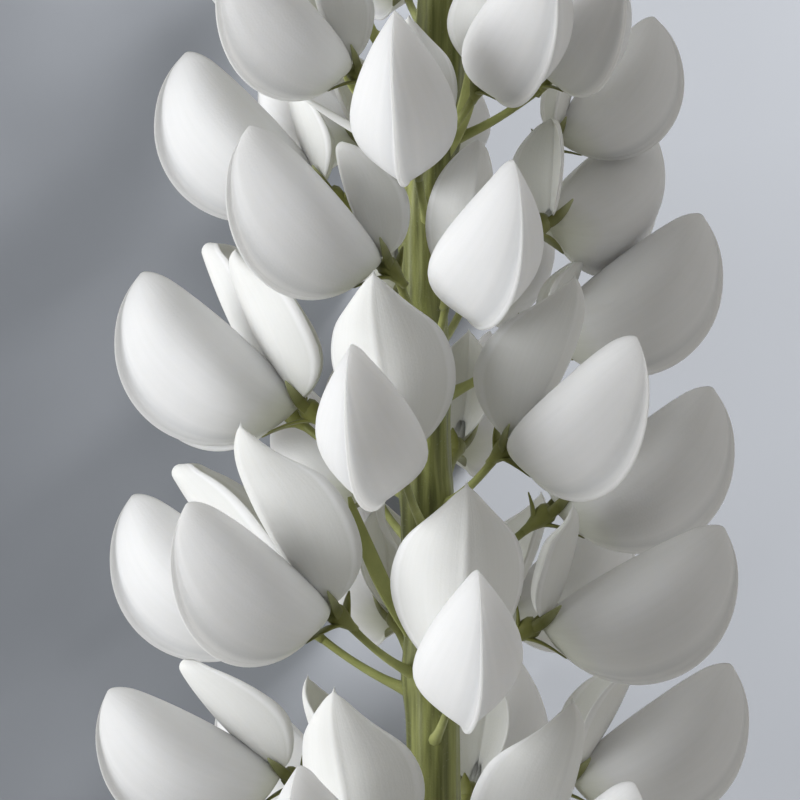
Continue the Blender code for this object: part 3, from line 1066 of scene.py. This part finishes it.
@dataclass(frozen=True)
class Lobe:
    """A pointed leaf of the calyx, in one bloom's length: its path and its half widths along it.

    tints are the first texture numbers of its root and of its tip, facing a direction that lies square
    to its path and to its width, taper the share of its thickness that is lost towards its tip, and
    tip_step how far its point lies beyond its last ring, in steps from ring to ring.
    """

    path: tuple[tuple[float, float, float], ...]
    widths: tuple[float, ...]
    thickness: float
    facing: tuple[float, float, float]
    tints: tuple[float, float]
    least_width: float = 0.002
    taper: float = 0.7
    tip_step: float = 0.4
    rows: int = 12
    sides: int = 10

    def add_to(self, patch: Patchwork, matrix: Matrix, slot: int) -> None:
        """Adds the leaf of one bloom.

        Args:
            patch: The mesh that it joins.
            matrix: The bloom's place.
            slot: Its material slot.
        """
        knots = np.linspace(0.0, 1.0, len(self.path))
        step = np.linspace(0.0, 1.0, self.rows)
        corners = np.array(self.path)
        path = np.stack([rounded(step, knots, corners[:, axis]) for axis in range(3)], axis=-1)
        widths = np.maximum(rounded(step, knots, np.array(self.widths)), self.least_width)
        heights = self.thickness * (1.0 - self.taper * step)
        tints = between(self.tints, step)
        tip = path[-1] + self.tip_step * (path[-1] - path[-2])
        patch.add_tube(path, widths, heights, tints, self.sides, slot, self.facing, matrix, (path[0], tip))


UPPER_TOOTH = Lobe(
    path=((-0.12, 0.0, 0.02), (-0.088, 0.0, 0.065), (-0.066, 0.0, 0.108), (-0.05, 0.0, 0.15)),
    widths=(0.024, 0.033, 0.026, 0.006), thickness=0.014, facing=(1.0, 0.0, 0.0), tints=(0.1, 0.4),
)
LOWER_LIP = Lobe(
    path=((-0.11, 0.0, 0.0), (-0.052, 0.0, -0.055), (-0.008, 0.0, -0.12), (0.03, 0.0, -0.195)),
    widths=(0.024, 0.037, 0.03, 0.007), thickness=0.014, facing=(1.0, 0.0, 0.0), tints=(0.1, 0.5),
)
SIDE_TEETH = tuple(
    Lobe(
        path=((-0.08, 0.02 * side, 0.01), (-0.005, 0.058 * side, 0.012),
              (0.06, 0.084 * side, 0.025), (0.125, 0.098 * side, 0.044)),
        widths=(0.024, 0.03, 0.023, 0.006), thickness=0.013, facing=(0.0, 1.0, 0.0), tints=(0.35, 1.0),
    )
    for side in (-1, 1)
)


@dataclass(frozen=True)
class Calyx:
    """The green cup behind a bloom with its pointed teeth and lip, in one bloom's length.

    stations and radii are its profile along the bloom, height is how far its middle line lies above the
    bloom's chord, and tints are the texture numbers of its ends.
    """

    stations: tuple[float, ...] = (-0.19, -0.155, -0.125, -0.095, -0.065, -0.035, -0.012)
    radii: tuple[float, ...] = (0.021, 0.025, 0.034, 0.045, 0.053, 0.054, 0.042)
    height: float = 0.015
    tints: tuple[float, float] = (0.0, 0.5)
    sides: int = 16
    lobes: tuple[Lobe, ...] = (UPPER_TOOTH, LOWER_LIP, *SIDE_TEETH)

    def add_to(self, patch: Patchwork, matrix: Matrix, slot: int) -> None:
        """Adds the calyx of one bloom.

        Args:
            patch: The mesh that it joins.
            matrix: The bloom's place.
            slot: Its material slot.
        """
        stations = np.array(self.stations)
        radii = np.array(self.radii)
        path = np.stack((stations, 0.0 * stations, 0.0 * stations + self.height), axis=-1)
        tints = np.linspace(*self.tints, len(stations))
        patch.add_tube(path, radii, radii, tints, self.sides, slot, matrix=matrix)
        for lobe in self.lobes:
            lobe.add_to(patch, matrix, slot)


@dataclass(frozen=True)
class Pedicel:
    """The thin stalk that carries a bloom, from inside the flower stalk to the calyx.

    root_reach is how far from the axis it starts, sag how far its middle hangs, end its last point in
    the bloom's own length, and knots and radii are its profile.
    """

    root_reach: float = 1.0
    sag: float = 0.6
    end: tuple[float, float, float] = (-0.12, 0.0, 0.017)
    knots: tuple[float, ...] = (0.0, 0.2, 0.5, 0.85, 1.0)
    radii: tuple[float, ...] = (0.9, 0.54, 0.39, 0.37, 0.42)
    rows: int = 18
    sides: int = 10

    def path(self, bloom: Bloom) -> np.ndarray:
        """Draws the pedicel's middle line.

        Args:
            bloom: The bloom that it carries.

        Returns:
            The line's points, in metres.
        """
        last = bloom.matrix() @ Vector(self.end) / MM
        low = bloom.height - PEDICEL_DROP * bloom.reach - self.root_reach
        root = AXIS + TIPWARD * low + outward_at(bloom.around) * self.root_reach
        middle = root.lerp(last, 0.5) - TIPWARD * self.sag
        return smooth_path([root, middle, last], self.rows) * MM

    def add_to(self, patch: Patchwork, bloom: Bloom, slot: int) -> np.ndarray:
        """Adds the pedicel of one bloom, flared where it leaves the flower stalk.

        Args:
            patch: The mesh that it joins.
            bloom: The bloom that it carries.
            slot: Its material slot.

        Returns:
            The pedicel's middle line, in metres.
        """
        path = self.path(bloom)
        step = np.linspace(0.0, 1.0, self.rows)
        radii = rounded(step, np.array(self.knots), np.array(self.radii)) * MM
        patch.add_tube(path, radii, radii, step, self.sides, slot, up=(0.0, 1.0, 0.3))
        return path


@dataclass(frozen=True)
class Down:
    """Fine straight hairs, each a thin three-sided cone."""

    length: tuple[float, float] = (0.2, 0.45)
    radius: float = 0.009
    root_depth: float = 0.05

    def add_to(
        self, patch: Patchwork, roots: np.ndarray, ahead: np.ndarray, draw: np.random.Generator, slot: int,
    ) -> None:
        """Adds a hair at every root.

        Args:
            patch: The mesh that they join.
            roots: The roots' places, in metres.
            ahead: The hairs' directions, of length 1.
            draw: The seeded source of their lengths.
            slot: Their material slot.
        """
        count = len(roots)
        # A slanting direction that no hair has sets the cones' sides square to the hairs
        aside = unit(np.cross(ahead, (0.31, 0.52, 0.79)))
        other = np.cross(ahead, aside)
        turn = 2.0 * np.pi * np.arange(3) / 3.0
        ring = aside[:, None] * np.cos(turn)[None, :, None] + other[:, None] * np.sin(turn)[None, :, None]
        base = roots[:, None] - ahead[:, None] * self.root_depth * MM + ring * self.radius * MM
        tips = roots + ahead * draw.uniform(*self.length, count)[:, None] * MM
        points = np.concatenate((base, tips[:, None]), axis=1).reshape(-1, 3)
        corner = 4 * np.arange(count)[:, None]
        faces = [corner + np.array(triple) for triple in ((0, 1, 3), (1, 2, 3), (2, 0, 3), (0, 2, 1))]
        patch.add(points, np.zeros((len(points), 2)), [np.concatenate(faces)], slot)


@dataclass(frozen=True)
class Bract:
    """A narrow leaf on the spike, from the stalk or a calyx to its free tip.

    path holds its root, its middle and its tip from the spike's axis, and half_width is its greatest.
    tints and last_tint keep its texture places in the plain part of its material's pattern.
    """

    path: tuple[tuple[float, float, float], ...]
    half_width: float
    slot: Slot
    thickness: float = 0.12
    tints: tuple[float, float] = (0.3, 0.8)
    last_tint: float = 0.8
    rows: int = 20
    sides: int = 10

    def add_to(self, patch: Patchwork) -> None:
        """Adds the bract, whose half width runs as sin(pi (0.12 + 0.84 step))^0.7 along it.

        Args:
            patch: The mesh that it joins.
        """
        path = smooth_path([AXIS + Vector(corner) for corner in self.path], self.rows) * MM
        step = np.linspace(0.0, 1.0, self.rows)
        widths = self.half_width * np.sin(np.pi * (0.12 + 0.84 * step)) ** 0.7 * MM
        heights = np.minimum(widths, self.thickness * MM)
        patch.add_tube(
            path, widths, heights, between(self.tints, step), self.sides, self.slot,
            up=(0.2, 0.1, 1.0), last_tint=self.last_tint,
        )


BRACTS = (
    Bract(((-1.6, -21.5, 0.8), (-5.0, -14.7, 3.0), (-7.2, -8.6, 3.6)), 0.75, Slot.PEDICEL),
    Bract(((-1.2, 24.5, 1.5), (-7.0, 28.2, 4.0), (-8.7, 37.4, 5.0)), 0.5, Slot.PEDICEL),
    Bract(((-1.0, 28.5, 1.5), (-4.9, 32.2, 4.0), (-6.2, 37.2, 4.5)), 0.5, Slot.PEDICEL),
    Bract(((1.2, 21.5, 1.6), (3.5, 27.6, 2.4), (4.3, 35.5, 2.8)), 0.75, Slot.PEDICEL),
    Bract(((-1.8, 20.9, 9.0), (-6.8, 23.8, 8.0), (-12.2, 27.2, 7.5)), 0.4, Slot.PALE),
    Bract(((-3.4, -6.6, 10.4), (-4.4, -9.9, 8.6), (-2.7, -13.4, 7.5)), 0.4, Slot.PALE),
)


@dataclass
class StalkPiece:
    """The flower stalk with every bloom's pedicel and calyx, its cut end and its down.

    swell holds how much the stalk swells under a bloom, over what length, and the most it may swell in
    all. cut holds the rings of the pith: each one's share of the stalk's radius and its height above
    the cut. hair_lean is how far the stem's hairs lean towards the spike's tip and the pedicels' hairs
    towards the calyx, and hair_spread how much a hair of the stem may differ.
    """

    rows: int = 220
    sides: int = 48
    ribs: int = 9
    rib_height: float = 0.07
    hairs: int = 4200
    pedicel_hairs: int = 46
    hair_lean: tuple[float, float] = (0.45, 0.4)
    hair_spread: float = 0.18
    swell: tuple[float, float, float] = (0.28, 2.2, 0.4)
    cut: tuple[tuple[float, float], ...] = ((0.8, 0.4), (0.84, 0.02), (0.8, -0.05), (0.5, -0.09))
    cut_depth: float = 0.1

    def centre(self, height: np.ndarray) -> np.ndarray:
        """Gives the stalk's middle line.

        Args:
            height: The places along the spike.

        Returns:
            The line's points, in millimetres.
        """
        return spine(height, rounded(height, STALK_PROFILE[:, 0], STALK_PROFILE[:, 2]))

    def radius(self, height: np.ndarray, around: np.ndarray) -> np.ndarray:
        """Gives the stalk's radius, ribbed along and swollen a little under each bloom.

        A swelling falls off round the stalk as exp(3 cos - 3), and the ribs wind a little on their way.

        Args:
            height: The places along the spike.
            around: The angles round it, in radians.

        Returns:
            The radii, in millimetres.
        """
        plain = rounded(height, STALK_PROFILE[:, 0], STALK_PROFILE[:, 1])
        swell = np.zeros_like(plain)
        for bloom in BLOOMS:
            root = bloom.height - PEDICEL_DROP * bloom.reach
            near = np.exp(-((height - root) / self.swell[1]) ** 2)
            facing = np.exp(3.0 * (np.cos(around - math.radians(bloom.around)) - 1.0))
            swell = swell + near * self.swell[0] * facing
        ribs = self.rib_height * np.sin(self.ribs * around + 0.02 * height + 0.6 * np.sin(0.11 * height))
        return plain + np.minimum(swell, self.swell[2]) + ribs

    def add_stem(self, patch: Patchwork) -> None:
        """Adds the stem and the pith of its cut end.

        Args:
            patch: The mesh that they join.
        """
        height = np.linspace(CUT_END, STALK_TOP, self.rows)
        around = np.linspace(0.0, 2.0 * np.pi, self.sides, endpoint=False)
        radius = self.radius(height[:, None], around[None, :])
        centre = self.centre(height)
        spoke = spokes(around)
        rings = (centre[:, None] + spoke[None] * radius[..., None]) * MM
        places = places_of(np.linspace(0.0, 1.0, self.rows), np.linspace(0.0, 1.0, self.sides))
        patch.add_loft(rings, centre[0] * MM, centre[-1] * MM, places, Slot.STEM)
        share, level = np.array(self.cut).T[..., None, None]
        disc = (centre[0] + spoke[None] * radius[:1, :, None] * share + level * np.array(TIPWARD)) * MM
        middle = centre[0] - self.cut_depth * np.array(TIPWARD)
        patch.add_loft(disc, disc[0].mean(axis=0), middle * MM, places[:len(self.cut)], Slot.PITH)

    def add_down(self, patch: Patchwork, paths: list[np.ndarray]) -> None:
        """Adds the down of the stem and of the pedicels.

        Args:
            patch: The mesh that it joins.
            paths: The pedicels' middle lines.
        """
        draw = np.random.default_rng(SEED)
        height = draw.uniform(CUT_END + 1.0, STALK_TOP - 1.0, self.hairs)
        around = draw.uniform(0.0, 2.0 * np.pi, self.hairs)
        outward = spokes(around)
        roots = self.centre(height) + outward * self.radius(height, around)[:, None]
        lean = np.array((0.0, self.hair_lean[0], 0.0))
        ahead = outward + lean + draw.normal(0.0, self.hair_spread, (self.hairs, 3))
        Down().add_to(patch, roots * MM, unit(ahead), draw, Slot.HAIR)
        short = Down(length=(0.15, 0.3))
        for path in paths:
            # The first two steps of a pedicel lie inside the stalk and bear no hair
            place = draw.integers(3, len(path) - 1, self.pedicel_hairs)
            stride = path[place] - path[place - 1]
            along = unit(stride)
            aside = unit(np.cross(along, draw.normal(0.0, 1.0, (self.pedicel_hairs, 3))))
            start = path[place] - stride * draw.uniform(0, 1, self.pedicel_hairs)[:, None]
            ahead = unit(aside + self.hair_lean[1] * along)
            short.add_to(patch, start + aside * min(Pedicel.radii) * MM, ahead, draw, Slot.HAIR)

    def build(self, finishes: Finishes) -> bpy.types.Object:
        """Builds the stalk in the place of its node.

        Args:
            finishes: The spike's materials.

        Returns:
            The stalk's object.
        """
        patch = Patchwork()
        self.add_stem(patch)
        paths = []
        for bloom in BLOOMS:
            paths.append(Pedicel().add_to(patch, bloom, Slot.PEDICEL))
            Calyx().add_to(patch, bloom.matrix(), Slot.CALYX)
        for bract in BRACTS:
            bract.add_to(patch)
        self.add_down(patch, paths)
        materials = [
            finishes.stem, finishes.calyx, finishes.hair, finishes.pith, finishes.pedicel, finishes.banner,
        ]
        piece = patch.to_object("stalk_and_calyces", materials)
        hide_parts("flower_stalk")
        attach(piece, "root")
        return piece


@dataclass
class BudTipPiece:
    """The bud tip: closed buds in a spiral on a slim core, smaller towards the top.

    turn is the angle from one bud to the next. heights, lengths, reach and lean hold the lowest bud's
    and the highest bud's values, spread is how far a bud's lean may differ, and core holds the radii of
    the core's ends. Within one bud, in its own length, knots and radii are its profile, flatness its
    breadth next to its height, cup how much its calyx stands out and up to where, and bow how far it
    bends.
    """

    heights: tuple[float, float] = (58.0, 94.0)
    count: int = 40
    turn: float = 137.5
    lengths: tuple[float, float] = (11.5, 3.4)
    reach: tuple[float, float] = (2.0, 0.9)
    lean: tuple[float, float] = (44.0, 8.0)
    spread: float = 4.0
    root_depth: float = 1.0
    core: tuple[float, float] = (1.2, 0.8)
    core_rows: int = 20
    core_sides: int = 12
    knots: tuple[float, ...] = (0.0, 0.1, 0.25, 0.45, 0.66, 0.86, 0.97)
    radii: tuple[float, ...] = (0.05, 0.11, 0.165, 0.185, 0.18, 0.1, 0.03)
    flatness: float = 0.92
    cup: tuple[float, float] = (0.09, 0.42)
    bow: float = 0.04
    rows: int = 16
    sides: int = 14

    def add_bud(self, patch: Patchwork, length: float, matrix: Matrix) -> None:
        """Adds one closed bud: a calyx with the folded petals standing out of it.

        Args:
            patch: The mesh that it joins.
            length: Its length, in millimetres.
            matrix: Its place, X along it.
        """
        step = np.linspace(0.02, 0.97, self.rows)
        radii = rounded(step, np.array(self.knots), np.array(self.radii)) * length
        radii = radii * (1.0 + self.cup[0] * (step < self.cup[1]))
        bend = self.bow * length * np.sin(np.pi * step)
        path = np.stack((step * length, 0.0 * step, bend), axis=-1)
        ends = ((0.0, 0.0, 0.0), (length, 0.0, 0.0))
        scaled = matrix @ Matrix.Scale(MM, 4)
        patch.add_tube(path, radii * self.flatness, radii, step, self.sides, matrix=scaled, ends=ends)

    def build(self, finishes: Finishes) -> bpy.types.Object:
        """Builds the bud tip in the place of its node.

        Args:
            finishes: The spike's materials.

        Returns:
            The bud tip's object.
        """
        draw = random.Random(SEED)
        patch = Patchwork()
        height = np.linspace(STALK_TOP - 2.0, self.heights[1] + 1.0, self.core_rows)
        radii = np.linspace(*self.core, self.core_rows) * MM
        patch.add_tube(spine(height) * MM, radii, radii, np.zeros(self.core_rows), self.core_sides)
        for k in range(self.count):
            share = k / (self.count - 1)
            lean = math.radians(between(self.lean, share) + draw.uniform(-self.spread, self.spread))
            outward = outward_at(self.turn * k)
            along = outward * math.sin(lean) + TIPWARD * math.cos(lean)
            across = along.cross(outward).normalized()
            turn = Matrix((along, across, along.cross(across))).transposed().to_4x4()
            base = AXIS + TIPWARD * between(self.heights, share)
            base = base + outward * (between(self.reach, share) - self.root_depth)
            self.add_bud(patch, between(self.lengths, share), Matrix.Translation(base * MM) @ turn)
        piece = patch.to_object("closed_buds", [finishes.bud])
        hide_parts("bud_tip")
        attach(piece, "root")
        return piece


@dataclass(frozen=True)
class SoftLight:
    """A square lamp that faces the middle of the photographed stretch.

    place and side are in metres and power is in watts. floor_only says that it lights the floor alone,
    as a lamp behind the flower lights a backdrop.
    """

    name: str
    place: tuple[float, float, float]
    side: float
    power: float
    color: tuple[float, float, float]
    floor_only: bool = False

    def build(self, target: Vector, floor: bpy.types.Object) -> None:
        """Adds the lamp.

        Args:
            target: The point that it faces, in metres.
            floor: The floor's object.
        """
        lamp = bpy.data.lights.new(self.name, "AREA")
        lamp.shape = "SQUARE"
        lamp.size = self.side
        lamp.energy = self.power
        lamp.color = self.color
        thing = bpy.data.objects.new(self.name, lamp)
        thing.location = self.place
        thing.rotation_euler = (target - Vector(self.place)).to_track_quat("-Z", "Y").to_euler()
        thing.visible_camera = False
        bpy.context.scene.collection.objects.link(thing)
        if self.floor_only:
            lit = bpy.data.collections.new("lit_floor")
            lit.objects.link(floor)
            thing.light_linking.receiver_collection = lit


@dataclass(frozen=True)
class Stage:
    """The pale floor, the soft light from the left and the camera that looks down on the spike.

    floor_size and the camera's nearest distance are in metres. camera_shift moves the camera to the
    right of the axis.
    """

    floor_size: float = 3.0
    camera_height: float = 300.0
    camera_shift: float = -2.7
    lens: float = 150.0
    sensor: float = 36.0
    nearest: float = 0.01
    sky: tuple[float, float, float] = (1.0, 0.985, 0.94)
    sky_power: tuple[float, float] = (0.66, 0.02)
    sky_right: float = 0.2
    sky_below: float = 0.55
    horizon: float = 0.05
    lights: tuple[SoftLight, ...] = (
        SoftLight("window_left", (-0.62, 0.06, 0.33), 0.42, 4.4, (0.97, 0.985, 1.0)),
        SoftLight("backdrop_right", (0.34, 0.26, 0.16), 0.15, 7.6, (1.0, 0.985, 0.97), floor_only=True),
    )

    def build(self, finishes: Finishes) -> None:
        """Adds the floor, the lights, the sky and the camera.

        Args:
            finishes: The materials.
        """
        scene = bpy.context.scene
        scene.view_settings.view_transform = "Standard"
        half = self.floor_size / 2.0
        mesh = bpy.data.meshes.new("floor")
        corners = [(-half, -half, 0), (half, -half, 0), (half, half, 0), (-half, half, 0)]
        mesh.from_pydata(corners, [], [(0, 1, 2, 3)])
        mesh.materials.append(finishes.floor)
        floor = bpy.data.objects.new("floor", mesh)
        scene.collection.objects.link(floor)
        # The photo's backdrop stands far behind the flower, so its bright side lights no petal
        floor.visible_diffuse = False
        target = AXIS * MM
        for light in self.lights:
            light.build(target, floor)
        scene.world = self.make_sky()
        camera = bpy.data.cameras.new("camera")
        camera.lens = self.lens
        camera.sensor_width = self.sensor
        camera.clip_start = self.nearest
        thing = bpy.data.objects.new("camera", camera)
        thing.location = (AXIS + Vector((self.camera_shift, 0.0, self.camera_height))) * MM
        scene.collection.objects.link(thing)
        scene.camera = thing

    def make_sky(self) -> bpy.types.World:
        """Makes the even light of a room with pale walls and a dim ceiling.

        sky_power holds its strength at the walls and straight above, and sky_right is how much brighter
        than the middle of the room the wall on the right is. The light that comes up from below is the
        walls' light times sky_below, and horizon is how far down it takes to fade to that.

        Returns:
            The world.
        """
        world = bpy.data.worlds.new("soft_room")
        nodes = Nodes(world)
        split = nodes.add("SeparateXYZ", {0: nodes.add("TexCoord").outputs["Generated"]})
        level, side, below = (
            nodes.add("MapRange", dict(enumerate((split.outputs[axis], *span))))
            for axis, *span in (
                ("Z", 0.0, 1.0, *self.sky_power),
                ("X", -1.0, 1.0, 1.0 - self.sky_right, 1.0 + self.sky_right),
                ("Z", -self.horizon, 0.0, self.sky_below, 1.0),
            )
        )
        strength = nodes.add("Math", {0: level, 1: side}, operation="MULTIPLY")
        strength = nodes.add("Math", {0: strength, 1: below}, operation="MULTIPLY")
        light = nodes.add("Background", {"Color": (*self.sky, 1.0), "Strength": strength})
        nodes.add("OutputWorld", {"Surface": light})
        return world


def plain(box: tuple[Vector, Vector]) -> list[list[float]]:
    """Turns a box's corners into plain lists of numbers.

    Args:
        box: The lowest and the highest corner.

    Returns:
        The two corners as lists.
    """
    return [[float(value) for value in corner] for corner in box]


def main() -> None:
    """Builds the dressed spike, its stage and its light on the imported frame."""
    logging.basicConfig(level=logging.INFO, format="%(name)s: %(message)s")
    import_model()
    finishes = Finishes()
    for number, bloom in enumerate(BLOOMS, start=1):
        BloomPiece(number, bloom).build(finishes)
    log.info("built %d blooms", len(BLOOMS))
    for part in (StalkPiece(), BudTipPiece()):
        piece = part.build(finishes)
        log.info("built %s with %d faces", piece.name, len(piece.data.polygons))
    Stage().build(finishes)
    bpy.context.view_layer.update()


if __name__ == "__main__":
    main()
